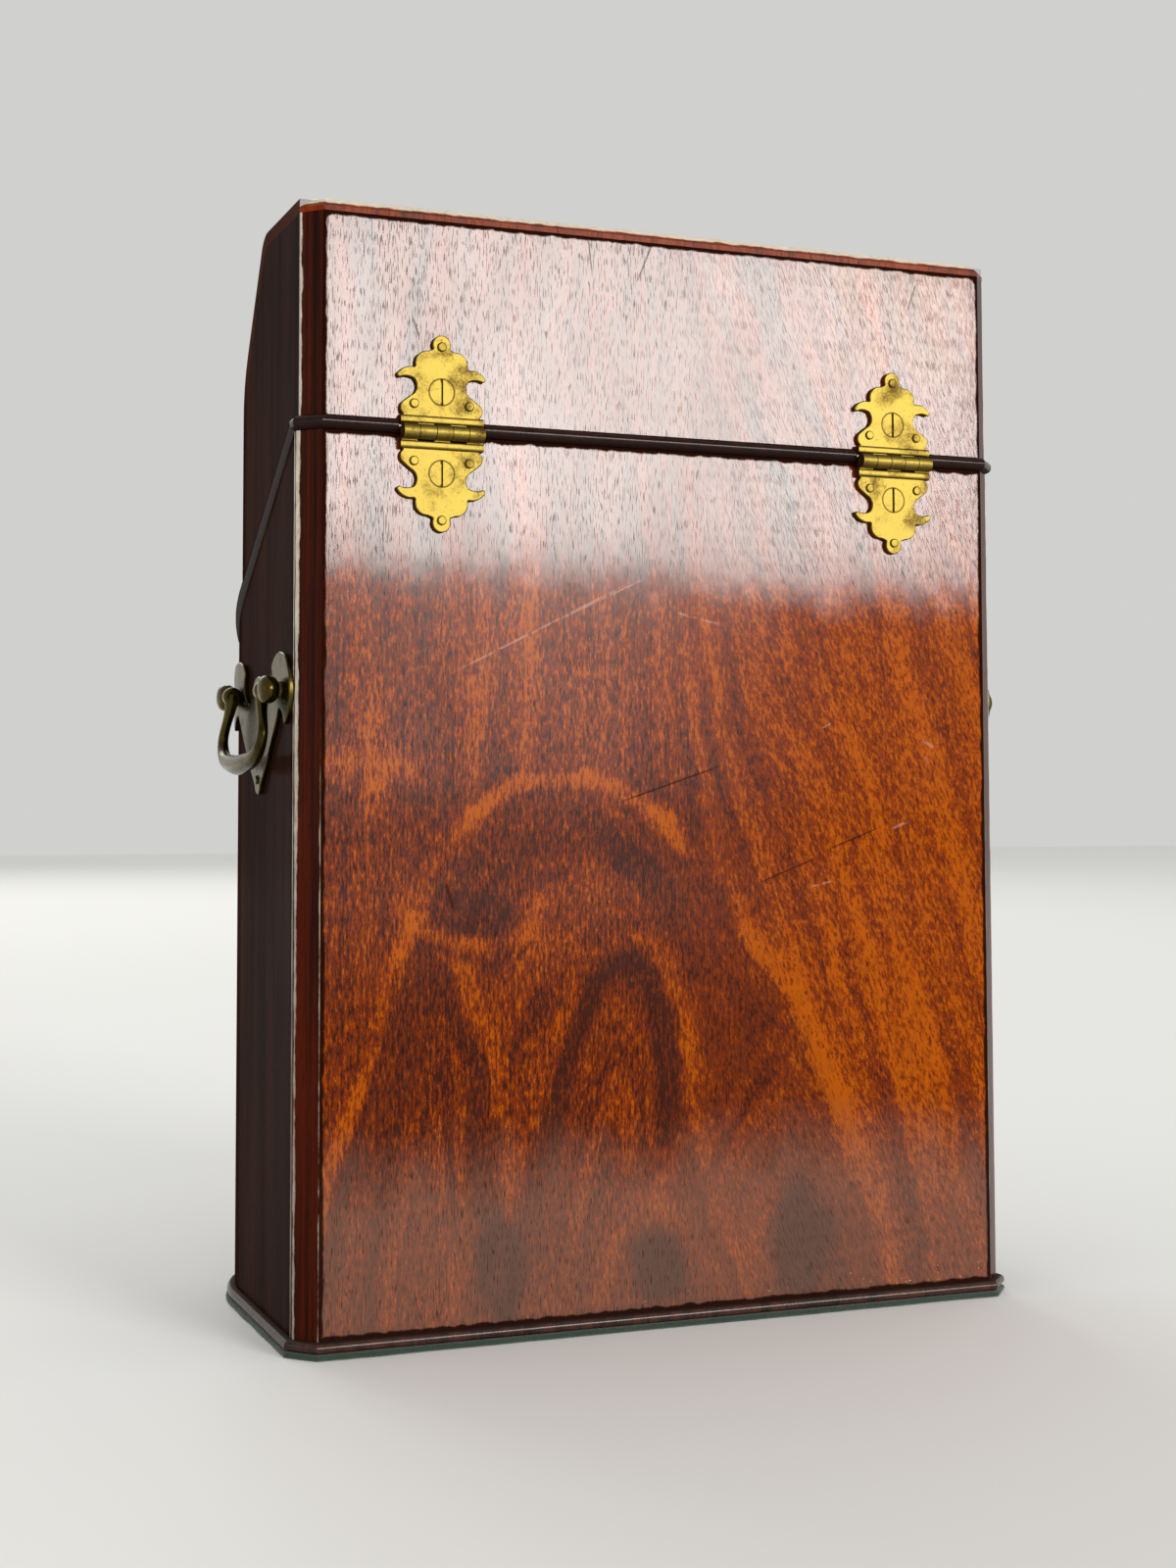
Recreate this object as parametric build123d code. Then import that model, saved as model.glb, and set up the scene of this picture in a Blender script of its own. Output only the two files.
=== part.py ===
from build123d import *
from math import atan2, cos, degrees, radians, sin, sqrt, tan
import os

os.makedirs("parts", exist_ok=True)

# Driving dimensions in millimetres. X runs across the box, Y from the front to the back, Z up.
WIDTH = 246.0
DEPTH = 134.0
HEIGHT = 350.0
CANT = 6.5               # leg of the canted rear corners
CORNER_R = 50.0          # turn from the sides into the bowed front
BOW_R = 309.0
FRONT_DEEP = 47.0        # the front panel takes in the round corners this far back
WALL = 8.5
ARRIS = 0.8              # worn edge of the canted corners

FELT = 1.8
FELT_LIP = 2.9
BASE_BEAD = 3.3          # height of the moulded base board
BASE_LIP = 2.5
BASE_ROUND = 1.6
FLOOR = 6.0

LID_BACK = 71.8          # height of the lid at the back, down to the joint
JOINT_FALL = 89.5        # how far the joint drops from the back to the front
JOINT_GAP = 0.2
LID_SETBACK = 0.8        # the lid stands a little inside the body
LID_WALL = 6.5
LID_BOARD = 4.5
LID_CREST = 51.8         # level top, from the back to the unrounded crest
LID_FRONT = 23.4         # height of the lid at the front, if its slope ran on to there
CREST_R = 9.0
TOP_CANT = 3.0           # leg of the canted rear edge of the lid's top
TOP_ROUND = 1.5
BEAD = 4.4               # half-round, as high as this and half as proud
SEAM_TURN = 75.0         # keeps the seam of the bead's surface off the lid's wall

DIVIDER = 4.0
DIVIDER_Y = {"rear": 30.0, "front": 0.0}
DIVIDER_DROP = 12.0      # top edge below the joint
SCOOP_R = 60.0
SCOOP = 14.0
SCOOP_ROUND = 1.2
RUNNER = 3.0

HINGE_IN = {"right": 44.2, "left": 41.7}     # from the sides; they stand a little out of symmetry
PIN_UP = 0.3             # pin axis above the joint
PIN_OUT = 3.0            # pin axis behind the back
PIN_R = 1.25
RUNNING = 0.05           # radial running fit
KNUCKLE_R = 2.35
KNUCKLES = 5
KNUCKLE_RUN = 26.5
KNUCKLE_GAP = 0.25
LEAF = 1.6
LEDGE = 2.6
LEDGE_ROUND = 0.9
LEDGE_HALF = 13.5
LEDGE_NEAR = 2.55        # from the pin to the near edge of the ledge
LEDGE_FAR = 5.2
WEB = 2.2                # height of the web between the leaf and its knuckles
WEB_BITE = 0.3           # web runs this far into the ledge
BEAD_STOP = 0.6          # clearance between a hinge and the bead cut round it
BEVEL = 0.3              # filed edge of the brass leaves and plates
EASE = 0.5               # round on the sharp corners of their outlines
EASE_FROM = 3.0          # degrees: a slighter bend than this is left as it is
SCREW_UP = 12.9
SCREW_DOWN = 12.5
SCREW_HEAD_R = 4.15
SCREW_R = 1.75
SCREW_BITE = 6.0
SCREW_LAND = 0.3         # straight rim of the countersunk head
SCREW_POINT = 1.0
SLOT = 0.9
SLOT_DEEP = 0.8
BRAD_R = 1.0
BRAD_HEAD_R = 1.5
BRAD_BITE = 5.0
BRAD_DOME = 0.7
PIN_SET = 0.3            # pin drawn in from the end knuckles
BRAD_PLACES = ((0.0, 27.0), (9.0, 8.9), (-9.0, 8.9))
STEP = 1.0               # one step of the outlines of the leaves and backplates

POST_DROP = 51.25        # posts below the joint, midway between them
POST_IN = (19.0, 75.0)   # posts from the back
PLATE = 1.5
PLATE_BRAD = -27.5       # brad in the plate's lower point, from the posts
BALL_OUT = 4.95
BALL_R = 4.4
BALL_HALF = 3.4
BALL_NECK = 53.1         # degrees from the ball's equator down to its neck
STEM_R = 1.6
COLLAR_R = 2.9
NUT_R = 3.6
NUT = 2.2
NUT_SLOT = 1.0
BAIL_DROP = 22.8
BAIL_LEAN = 2.5          # the bail swells outwards below its pins
BAIL_NECK_R = 2.5
BAIL_R = 1.9
BAIL_SWELL_R = 3.2
BAIL_THIN = 0.22         # thinnest at this share of its length from either end
# Swan neck from the knob to the hand bar: distance in from the post, and share of the drop.
BAIL_COURSE = ((6.5, 0.2), (3.2, 0.42), (1.4, 0.62), (4.8, 0.83), (15.0, 0.96))
BAIL_PIN_R = 1.2
BAIL_KNOB_R = 3.1
BAIL_KNOB = 4.2
KNOB_ROUND = 1.2
KNOB_GAP = 0.4           # between a knob and its ball
BAIL_PIN = 2.4
BAIL_PIN_ROOM = 0.2      # beyond the end of the pin in its ball
BAIL_PIN_ROOT = 0.5      # inside the knob

LOCK_HALF = 19.0
LOCK_SEAT = 3.5          # let into the front panel
LOCK_DEEP = 13.0
LOCK_IN = 2.5            # middle of the lock's rim, from the inside of the front
LOCK_SHEET = 2.0         # walls of the key's space
LOCK_DROP = 28.6         # foot of the lock below the rim
LOCK_SCREW_R = 1.2
LOCK_SCREW_X = 15.0
LOCK_SCREW_DROPS = (24.6, 12.6)
LOCK_HEAD_R = 2.2
LOCK_HEAD = 1.2
LOCK_BITE = 2.5
LOCK_SLOT = 0.7
BOLT = 3.0
BOLT_LONG = 14.0
BOLT_SLACK = 0.15
BOLT_DOWN = 6.0          # below the rim, square to the joint
BOLT_THROW = 5.0
BOLT_GAP = 0.3           # between the drawn bolt and the tongue
BOLT_TAIL = 0.5          # channel beyond the ends of the bolt's travel
BOLT_AHEAD = 1.5
BOLT_NOSE = 0.5
NOTCH = (3.0, 0.8)       # width and depth of the key's notch in the bolt
NOTCH_X = -1.0
KEYHOLE_DROP = 16.1
KEYHOLE_R = 2.0
KEY_SLOT = 5.0           # from the middle of the eye to the foot of the slot
KEY_SLACK = 0.3
KEY_SPACE_R = 7.0
TONGUE = 2.0
TONGUE_WIDE = 6.0
TONGUE_LONG = 9.0
TONGUE_ROUND = 1.5
TONGUE_ROOM = (0.8, 1.2, 1.5)    # pocket beside, behind and below the tongue
EYE_SLACK = 0.3          # round the corners of the bolt
LINK = 1.6
LINK_HALF = 16.0
LINK_DEEP = 13.0
LINK_SHIFT = 0.3
LINK_SCREW_X = 10.5
LINK_SCREW_R = 1.3
LINK_SCREW = 10.0
LINK_HEAD_R = 2.4
LINK_HEAD = 1.6
LINK_SINK = 0.05         # heads kept this far above the joint
EDGE_RING = 0.8          # escutcheon thickness
RING_DEEP = 3.0

JOINT_Z = HEIGHT - LID_BACK
PIN_Z = JOINT_Z + PIN_UP
BACK_Y = DEPTH / 2
SEAM_Y = FRONT_DEEP - BACK_Y
BODY_Z = FELT + BASE_BEAD
FLOOR_Z = BODY_Z + FLOOR
KNEE_Y = BACK_Y - WALL
INNER_X = WIDTH / 2 - WALL
CORNER_X = WIDTH / 2 - CORNER_R
BOW_Y = BOW_R - BACK_Y
CORNER_Y = BOW_Y - sqrt((BOW_R - CORNER_R) ** 2 - CORNER_X ** 2)
FRONT_INNER_Y = WALL - BACK_Y
HINGE_X = {"right": WIDTH / 2 - HINGE_IN["right"], "left": HINGE_IN["left"] - WIDTH / 2}
POST_MID = BACK_Y - sum(POST_IN) / 2
POST_HALF = (POST_IN[1] - POST_IN[0]) / 2
SLOPE = JOINT_FALL / (DEPTH - WALL)
JOINT_SLOPE = degrees(atan2(JOINT_FALL, DEPTH - WALL))
LID_SLOPE = degrees(atan2(LID_BACK + JOINT_FALL - LID_FRONT, DEPTH - LID_CREST))
FAR = 400.0


def save(name, *solids):
    shape = solids[0] if len(solids) == 1 else Compound(children=list(solids))
    export_step(shape, f"parts/{name}.step")


def mirror_x(shape):
    return mirror(shape, about=Plane.YZ)


def plan(inset=0.0, square=False):
    """Outline of the box drawn in by an even inset: canted rear corners, round front corners, bowed front."""
    half = WIDTH / 2 - inset
    back = BACK_Y - inset
    leg = CANT - inset * (2 - sqrt(2))
    rear = [(half, back)] if square else [(half - leg, back), (half, back - leg)]
    out = Vector(CORNER_X, CORNER_Y - BOW_Y).normalized()
    meet = Vector(0, BOW_Y) + out * (BOW_R - inset)
    turn = Vector(CORNER_X, CORNER_Y) + (out + Vector(1, 0)).normalized() * (CORNER_R - inset)
    left = [(-x, y) for x, y in reversed(rear)]
    edges = [
        Polyline((-half, CORNER_Y), *left, *rear, (half, CORNER_Y)),
        ThreePointArc((half, CORNER_Y), turn, meet),
        ThreePointArc(meet, (0, inset - BACK_Y), (-meet.X, meet.Y)),
        ThreePointArc((-meet.X, meet.Y), (-turn.X, turn.Y), (-half, CORNER_Y)),
    ]
    return make_face(edges)


def slab(face, low, high):
    return Pos(0, 0, low) * extrude(face, high - low)


def zone(x0, x1, y0, y1):
    """Tall block that picks one panel out of a ring of walls."""
    return Pos((x0 + x1) / 2, (y0 + y1) / 2, 0) * Box(x1 - x0, y1 - y0, 4 * HEIGHT)


def prism(face):
    """Solid right across the box from an outline in Y and Z."""
    return extrude(Plane.YZ * face, FAR, both=True)


def joint_z(y):
    return JOINT_Z - max(0.0, KNEE_Y - y) * SLOPE


def below_joint(rise=0.0):
    """Everything under the joint: level over the thickness of the back, then sloping to the front."""
    edge = [(FAR, JOINT_Z + rise), (KNEE_Y, JOINT_Z + rise), (-FAR, joint_z(-FAR) + rise)]
    return prism(Polygon((FAR, -2 * FAR), *edge, (-FAR, -2 * FAR), align=None))


def behind(y, z, angle):
    """Everything behind a plane through one line across the box, leaning back as it goes down."""
    lean = FAR * tan(radians(angle))
    return prism(Polygon((y - lean, z + FAR), (y + lean, z - FAR), (3 * FAR, z - FAR), (3 * FAR, z + FAR), align=None))


def lid_profile(inset=0.0):
    """Level top, rounded crest and long slope of the lid, drawn in by a board's thickness."""
    crest = BACK_Y - LID_CREST + inset * tan(radians(LID_SLOPE / 2))
    top = HEIGHT - inset
    foot = top - (crest + FAR) * tan(radians(LID_SLOPE))
    outline = Polygon((FAR, foot), (FAR, top), (crest, top), (-FAR, foot), align=None)
    corner = outline.vertices().sort_by_distance(Vector(crest, top))[0]
    return prism(fillet(corner, CREST_R - inset))


def panels(ring, back, inner_x):
    """Splits a ring of walls into its back, two canted corner strips, two sides and curved front."""
    flat = WIDTH / 2 - CANT
    corner = ring & zone(flat, FAR, BACK_Y - back, FAR)
    arris = corner.edges().filter_by(Axis.Z).group_by(Axis.X)[-1].sort_by(Axis.Y)[-1]
    corner = fillet(arris, ARRIS)
    side = ring & zone(inner_x - WALL, FAR, SEAM_Y, BACK_Y - back)
    return {
        "back": ring & zone(-flat, flat, BACK_Y - back, FAR),
        "corner_right": corner,
        "corner_left": mirror_x(corner),
        "side_right": side,
        "side_left": mirror_x(side),
        "front": ring & zone(-FAR, FAR, -FAR, SEAM_Y),
    }


# ---------------------------------------------------------------- hinges, in a frame on the back at the pin
def bend(*points):
    """Arc through three points of an outline, given in steps."""
    return ThreePointArc(*[Vector(*point) * STEP for point in points])


def both_halves(half):
    return make_face(half + [mirror(edge, about=Plane.YZ) for edge in half])


def eased(face):
    """An outline with its sharp corners eased."""
    sharp = []
    for corner in face.vertices():
        ways = []
        for edge in face.edges():
            if (edge @ 0 - Vector(corner)).length < 1e-6:
                ways.append(edge % 0)
            elif (edge @ 1 - Vector(corner)).length < 1e-6:
                ways.append(edge % 1 * -1)
        if 180 - ways[0].get_angle(ways[1]) > EASE_FROM:
            sharp.append(corner)
    return fillet(sharp, EASE)


def leaf_outline():
    """One leaf beyond the pin: narrow waist, drooping horns, square shoulders and a lobe for the end brad."""
    hip = 12.6 * STEP
    return both_halves([
        Polyline((0, LEDGE_NEAR), (hip, LEDGE_NEAR), (hip, LEDGE_FAR), Vector(12.6, 5.6) * STEP),
        bend((12.6, 5.6), (13.5, 7.6), (12.4, 9.6)),
        Line(Vector(12.4, 9.6) * STEP, Vector(10.0, 11.5) * STEP),
        bend((10.0, 11.5), (8.1, 14.2), (9.0, 16.7)),
        bend((9.0, 16.7), (11.2, 17.3), (13.4, 16.9)),
        bend((13.4, 16.9), (14.4, 17.4), (14.1, 18.4)),
        bend((14.1, 18.4), (11.8, 20.1), (8.3, 20.2)),
        bend((8.3, 20.2), (7.9, 24.0), (4.6, 25.6)),
        Line(Vector(4.6, 25.6) * STEP, Vector(2.6, 26.3) * STEP),
        bend((2.6, 26.3), (2.5, 29.3), (0, 30.7)),
    ])


def along_x(radius, length, x=0.0, y=0.0, z=0.0):
    return Pos(x, y, z) * Rot(0, 90, 0) * Cylinder(radius, length)


def leaf(first, screw_at, bore):
    """A leaf with its ledge, holes and every second knuckle, counted from the first."""
    plate = extrude(eased(leaf_outline()), LEAF)
    plate = chamfer(plate.edges().group_by(Axis.Z)[-1], BEVEL)
    ledge_mid = (LEDGE_NEAR + LEDGE_FAR) / 2
    ledge = Pos(0, ledge_mid, LEDGE / 2) * Box(2 * LEDGE_HALF, LEDGE_FAR - LEDGE_NEAR, LEDGE)
    ledge = fillet(ledge.edges().filter_by(Axis.X).group_by(Axis.Z)[-1], LEDGE_ROUND)
    pitch = KNUCKLE_RUN / KNUCKLES
    shape = plate + ledge
    web_low = PIN_OUT - KNUCKLE_R
    web_long = LEDGE_NEAR + WEB_BITE
    for index in range(first, KNUCKLES, 2):
        x = (index - KNUCKLES // 2) * pitch
        shape += along_x(KNUCKLE_R, pitch - KNUCKLE_GAP, x, 0, PIN_OUT)
        web = Box(pitch - KNUCKLE_GAP, web_long, WEB - web_low)
        shape += Pos(x, web_long / 2, (web_low + WEB) / 2) * web
    shape -= along_x(bore, 2 * KNUCKLE_RUN, 0, 0, PIN_OUT)
    shape -= Pos(0, screw_at) * screw_blank()
    for x, y in BRAD_PLACES:
        shape -= Pos(x, y, LEAF / 2) * Cylinder(BRAD_R, 2 * LEAF)
    return shape


def screw_blank():
    """Countersunk wood screw without its slot."""
    outline = Polyline(
        (0, LEAF), (SCREW_HEAD_R, LEAF), (SCREW_HEAD_R, LEAF - SCREW_LAND), (SCREW_R, 0),
        (SCREW_R, SCREW_POINT - SCREW_BITE), (0, -SCREW_BITE), close=True,
    )
    return revolve(Plane.XZ * make_face(outline), Axis.Z)


def screw(at):
    slot = Pos(0, 0, LEAF) * Box(SLOT, 3 * SCREW_HEAD_R, 2 * SLOT_DEEP)
    return Pos(0, at) * (screw_blank() - slot)


def brad(x, y, seat=LEAF, bite=BRAD_BITE):
    """Round-headed brass pin, its low domed head standing on a plate."""
    head = Pos(0, 0, seat + BRAD_DOME / 2) * Cylinder(BRAD_HEAD_R, BRAD_DOME)
    head = fillet(head.edges().group_by(Axis.Z)[-1], 0.7 * BRAD_DOME)
    return Pos(x, y) * (head + Pos(0, 0, (seat - bite) / 2) * Cylinder(BRAD_R, seat + bite))


def hinge_frame(x):
    return Plane(origin=(x, BACK_Y, PIN_Z), x_dir=(-1, 0, 0), z_dir=(0, 1, 0))


def turned_down(shape):
    return mirror(shape, about=Plane.XZ)


# ---------------------------------------------------------------- swan-neck handles, in a frame on the right side
SIDE = Plane(origin=(WIDTH / 2, POST_MID, joint_z(POST_MID) - POST_DROP), x_dir=(0, 1, 0), z_dir=(1, 0, 0))


def plate_outline():
    """Bat-wing backplate: long lower point, drooping wings, deep scoops beside a low crest."""
    return both_halves([
        bend((0, -32.2), (2.2, -31.4), (3.4, -29.4)),
        bend((3.4, -29.4), (15.5, -18.0), (26.5, -5.8)),
        bend((26.5, -5.8), (30.6, -7.3), (32.7, -11.0)),
        bend((32.7, -11.0), (38.0, -6.6), (39.5, 0.0)),
        bend((39.5, 0.0), (36.2, 8.0), (29.0, 11.6)),
        bend((29.0, 11.6), (22.6, 11.2), (17.2, 7.6)),
        bend((17.2, 7.6), (12.4, -2.6), (6.2, 1.2)),
        bend((6.2, 1.2), (3.9, 4.6), (0, 5.6)),
    ])


def backplate():
    """The plate follows the side, and bends with it where the front corner begins to turn."""
    blank = Pos(0, 0, PLATE - WALL) * extrude(eased(plate_outline()), WALL)
    blank = chamfer(blank.edges().group_by(Axis.Z)[-1], BEVEL)
    shape = SIDE * blank & slab(plan(-PLATE) - plan(), 0, HEIGHT)
    for x in (-POST_HALF, POST_HALF):
        shape -= SIDE * Pos(x, 0) * Cylinder(STEM_R, 4 * PLATE)
    return shape - SIDE * Pos(0, PLATE_BRAD) * Cylinder(BRAD_R, 4 * PLATE)


def post(side):
    """Squat ball on a collar, with a stem through the side and a hole for the bail's pin."""
    angle = radians(BALL_NECK)
    neck = (BALL_R * cos(angle), BALL_OUT - BALL_HALF * sin(angle))
    pole = (0, BALL_OUT + BALL_HALF)
    outline = [
        Polyline(pole, (0, -WALL), (STEM_R, -WALL), (STEM_R, PLATE), (COLLAR_R, PLATE), neck),
        Spline(neck, (BALL_R, BALL_OUT), pole, tangents=((1, 0.6), (-1, 0))),
    ]
    shape = revolve(Plane.XZ * make_face(outline), Axis.Z)
    deep = BAIL_PIN + 2 * BAIL_PIN_ROOM
    shape -= along_x(BAIL_PIN_R + RUNNING, deep, -side * (BALL_R - BAIL_PIN / 2), 0, BALL_OUT)
    return Pos(side * POST_HALF, 0) * shape


def bail():
    """Swan-neck bail: pinned knobs between the posts, legs that thicken to the hand bar."""
    knob_x = POST_HALF - BALL_R - KNOB_GAP - BAIL_KNOB / 2
    course = [(knob_x, 0)] + [(POST_HALF - x, share) for x, share in BAIL_COURSE]
    right = [(x, -share * BAIL_DROP, share * BAIL_LEAN) for x, share in course]
    left = [(-x, y, z) for x, y, z in reversed(right)]
    path = Pos(0, 0, BALL_OUT) * Spline(*right, (0, -BAIL_DROP, BAIL_LEAN), *left)
    radii = {0: BAIL_NECK_R, BAIL_THIN: BAIL_R, 0.5: BAIL_SWELL_R, 1 - BAIL_THIN: BAIL_R, 1: BAIL_NECK_R}
    sections = [Plane(origin=path @ at, z_dir=path % at) * Circle(radius) for at, radius in radii.items()]
    shape = sweep(sections, path, multisection=True)
    for side in (-1, 1):
        knob = along_x(BAIL_KNOB_R, BAIL_KNOB, side * knob_x, 0, BALL_OUT)
        shape += fillet(knob.edges().filter_by(GeomType.CIRCLE), KNOB_ROUND)
        inner = knob_x + BAIL_KNOB / 2 - BAIL_PIN_ROOT
        outer = POST_HALF - BALL_R + BAIL_PIN
        shape += along_x(BAIL_PIN_R, outer - inner, side * (inner + outer) / 2, 0, BALL_OUT)
    return shape


def nut(side):
    slot = Pos(0, 0, -NUT / 2) * Box(3 * NUT_R, NUT_SLOT, NUT_SLOT)
    ring = Cylinder(NUT_R, NUT) - Cylinder(STEM_R, 2 * NUT) - slot
    return Pos(side * POST_HALF, 0, NUT / 2 - WALL) * ring


def handle_holes():
    cut = Pos(0, PLATE_BRAD, -BRAD_BITE / 2) * Cylinder(BRAD_R, BRAD_BITE)
    for x in (-POST_HALF, POST_HALF):
        cut += Pos(x, 0, -WALL / 2) * Cylinder(STEM_R, 2 * WALL)
        cut += Pos(x, 0, NUT / 2 - WALL) * Cylinder(NUT_R, NUT)
    return SIDE * cut


# ---------------------------------------------------------------- lock, in a frame on the rim, square to the joint
RIM_Y = FRONT_INNER_Y + LOCK_IN
RIM = Plane(origin=(0, RIM_Y, joint_z(RIM_Y)), x_dir=(1, 0, 0), z_dir=(0, -SLOPE, 1))
LOCK_FRONT_Y = FRONT_INNER_Y - LOCK_SEAT
LOCK_BACK_Y = LOCK_FRONT_Y + LOCK_DEEP
RIM_Z = joint_z(RIM_Y)
KEYHOLE_Z = RIM_Z - KEYHOLE_DROP
LOCK_SCREWS = [(x, RIM_Z - drop) for x in (-LOCK_SCREW_X, LOCK_SCREW_X) for drop in LOCK_SCREW_DROPS]


def along_y(radius, y0, y1, x, z):
    return Pos(x, (y0 + y1) / 2, z) * Rot(90, 0, 0) * Cylinder(radius, y1 - y0)


def keyhole(grow, y0, y1):
    """Keyhole opening along Y: a round eye over a slot."""
    slot = Rectangle(KEYHOLE_R + 2 * grow, KEY_SLOT + 2 * grow)
    shape = Circle(KEYHOLE_R + grow) + Pos(0, -KEY_SLOT / 2) * slot
    return Pos(0, y1, KEYHOLE_Z) * extrude(Plane.XZ * shape, y1 - y0)


def lock_block():
    mid_y = (LOCK_FRONT_Y + LOCK_BACK_Y) / 2
    block = Pos(0, mid_y, RIM_Z) * Box(2 * LOCK_HALF, LOCK_DEEP, 2 * LOCK_DROP)
    return block & below_joint(-JOINT_GAP)


def lock_case():
    """Box lock: pocket for the lid's tongue, channel for the bolt, round space for the key's bit."""
    beside, back, under = TONGUE_ROOM
    pocket = Box(TONGUE + 2 * beside, TONGUE_WIDE + 2 * back, TONGUE_LONG + 2 * under)
    size = BOLT + 2 * BOLT_SLACK
    run = BOLT_LONG + BOLT_THROW + BOLT_TAIL + BOLT_AHEAD
    tail_x = TONGUE / 2 + BOLT_GAP + BOLT_LONG + BOLT_TAIL
    channel = RIM * Pos(tail_x - run / 2, 0, -BOLT_DOWN) * Box(run, size, size)
    key = along_y(KEY_SPACE_R, LOCK_FRONT_Y + LOCK_SHEET, LOCK_BACK_Y - LOCK_SHEET, 0, KEYHOLE_Z)
    shape = lock_block() - RIM * Pos(0, 0, -TONGUE_LONG / 2) * pocket - channel - key
    shape -= keyhole(KEY_SLACK, LOCK_FRONT_Y - LOCK_SHEET, LOCK_FRONT_Y + 2 * LOCK_SHEET)
    for x, z in LOCK_SCREWS:
        shape -= along_y(LOCK_SCREW_R, LOCK_FRONT_Y - LOCK_BITE, LOCK_BACK_Y, x, z)
    return shape


def lock_bolt():
    """Square bolt with a round nose, drawn clear of the tongue, and a notch for the key."""
    bar = Box(BOLT_LONG, BOLT, BOLT)
    bar = fillet(bar.faces().sort_by(Axis.X)[0].edges(), BOLT_NOSE)
    bar -= Pos(NOTCH_X, 0, -BOLT / 2) * Box(NOTCH[0], 2 * BOLT, 2 * NOTCH[1])
    return RIM * Pos(TONGUE / 2 + BOLT_GAP + BOLT_LONG / 2, 0, -BOLT_DOWN) * bar


def lock_screw(x, z):
    head = along_y(LOCK_HEAD_R, LOCK_BACK_Y, LOCK_BACK_Y + LOCK_HEAD, x, z)
    head = fillet(head.edges().group_by(Axis.Y)[-1], LOCK_HEAD / 2)
    shank = along_y(LOCK_SCREW_R, LOCK_FRONT_Y - LOCK_BITE, LOCK_BACK_Y, x, z)
    return head + shank - Pos(x, LOCK_BACK_Y + LOCK_HEAD, z) * Box(3 * LOCK_HEAD_R, LOCK_HEAD, LOCK_SLOT)


def link_block():
    return RIM * Pos(0, LINK_SHIFT, LINK / 2) * Box(2 * LINK_HALF, LINK_DEEP, LINK)


def link_plate():
    """Plate under the lid's front edge with the tongue that the bolt passes through."""
    tongue = Box(TONGUE, TONGUE_WIDE, TONGUE_LONG)
    tongue = fillet(tongue.edges().filter_by(Axis.X).group_by(Axis.Z)[0], TONGUE_ROUND)
    eye = along_x(BOLT / sqrt(2) + EYE_SLACK, 2 * TONGUE, 0, 0, TONGUE_LONG / 2 - BOLT_DOWN)
    shape = link_block() + RIM * Pos(0, 0, -TONGUE_LONG / 2) * (tongue - eye)
    for x in (-LINK_SCREW_X, LINK_SCREW_X):
        shape -= link_screw_blank(x)
    return shape


def link_screw_blank(x):
    y = LOCK_FRONT_Y + LINK_SHIFT
    z = joint_z(y)
    shank = Pos(x, y, z + LINK_SCREW / 2 - LINK_SCREW_R) * Cylinder(LINK_SCREW_R, LINK_SCREW)
    head = Pos(x, y, z + LINK_HEAD / 2) * Cone(LINK_HEAD_R, LINK_SCREW_R, LINK_HEAD)
    return (shank + head) - below_joint(LINK_SINK)


# ---------------------------------------------------------------- base, body and its fittings
baize = slab(plan(-FELT_LIP), 0, FELT)
base_board = slab(plan(-BASE_LIP), FELT, BODY_Z)
base_board = fillet(base_board.edges().group_by(Axis.Z)[0] + base_board.edges().group_by(Axis.Z)[-1], BASE_ROUND)
floor_board = slab(plan(WALL, square=True), BODY_Z, FLOOR_Z)

body_ring = slab(plan() - plan(WALL, square=True), BODY_Z, JOINT_Z) & below_joint(-JOINT_GAP)
body = panels(body_ring, WALL, INNER_X)

runner_set = {"right": [], "left": []}
for y in DIVIDER_Y.values():
    for offset in (-1, 1):
        ry = y + offset * (DIVIDER + RUNNER) / 2
        strip = Pos(INNER_X - RUNNER / 2, ry, HEIGHT / 2) * Box(RUNNER, RUNNER, 2 * HEIGHT)
        strip = strip & below_joint(-DIVIDER_DROP) & Pos(0, 0, FLOOR_Z + FAR) * Box(FAR, FAR, 2 * FAR)
        runner_set["right"].append(strip)
        runner_set["left"].append(mirror_x(strip))


def divider(y):
    """Thin partition with a finger scoop in its top edge."""
    top = joint_z(y - DIVIDER / 2) - DIVIDER_DROP
    board = Pos(0, y, (FLOOR_Z + top) / 2) * Box(2 * INNER_X, DIVIDER, top - FLOOR_Z)
    board -= along_y(SCOOP_R, y - DIVIDER, y + DIVIDER, 0, top + SCOOP_R - SCOOP)
    return fillet(board.edges().filter_by(GeomType.CIRCLE), SCOOP_ROUND)


lid_shift = Pos(0, LID_SETBACK, 0)
lid_block = slab(lid_shift * plan(LID_SETBACK), 0, HEIGHT)
lid_outer = (lid_block & lid_profile()) - below_joint()
lid_inside = slab(lid_shift * plan(LID_SETBACK + LID_WALL, square=True), 0, HEIGHT)
lid_ring = (lid_outer & lid_profile(LID_BOARD)) - lid_inside
lid = panels(lid_ring, LID_WALL, WIDTH / 2 - LID_WALL)
lid_skin = lid_outer - lid_profile(LID_BOARD)
behind_crest = behind(BACK_Y - LID_CREST, HEIGHT, LID_SLOPE / 2)
rear_edge = zone(-FAR, FAR, BACK_Y - LID_WALL, FAR)
lid_top = (lid_skin & behind_crest) - rear_edge
lid_slope = lid_skin - behind_crest


def outer_edges(solid):
    """Edges of the level top that run along the back and the canted corners, and not along the seam."""
    top = solid.edges().group_by(Axis.Z)[-1]
    return [edge for edge in top if edge.center().Y > BACK_Y - LID_WALL + JOINT_GAP and abs((edge % 0).X) > 0.5]


lid_edge = lid_skin & rear_edge
lid_edge = chamfer(outer_edges(lid_edge), TOP_CANT)
lid_edge = fillet(outer_edges(lid_edge), TOP_ROUND)


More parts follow.
